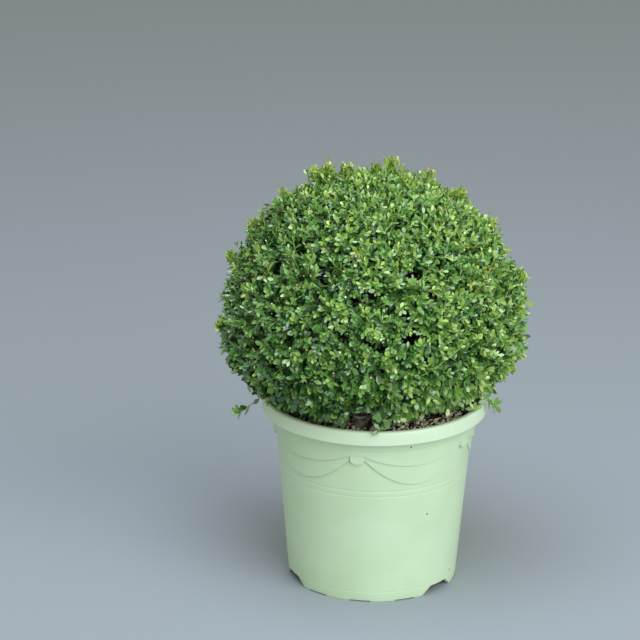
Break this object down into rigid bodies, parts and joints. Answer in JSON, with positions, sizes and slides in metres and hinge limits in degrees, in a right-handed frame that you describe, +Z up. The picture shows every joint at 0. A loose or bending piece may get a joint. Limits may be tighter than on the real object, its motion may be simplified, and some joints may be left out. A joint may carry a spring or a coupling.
{
  "type": "potted japanese holly ball",
  "caption": "Clipped round Japanese holly shrub on a short stem in a moulded plastic pot with draped relief, filled with bark compost; stands on level ground.",
  "frame": {"origin": "on the ground at the pot's axis, the bottom centre of the whole plant's box", "axes": "+Z up along the pot's axis, -Y towards the side that the picture shows, +X to that view's right"},
  "size_m": [0.4693, 0.4667, 0.6336],
  "materials": {
    "pot_plastic": "satin, injection moulded, pale mint green",
    "compost": "moist bark compost with pale chips",
    "plug_plastic": "dark moulded plastic",
    "bark": "thin grey-brown bark",
    "foliage": "small glossy evergreen leaves"
  },
  "bodies": {
    "root": {"pot": "pot_plastic", "compost": "compost", "plug": "plug_plastic", "stem": "bark", "bough_leader": "bark", "bough_1": "bark", "bough_2": "bark", "bough_3": "bark", "bough_4": "bark", "bough_5": "bark", "foliage_ball": "foliage"}
  },
  "joints": []
}
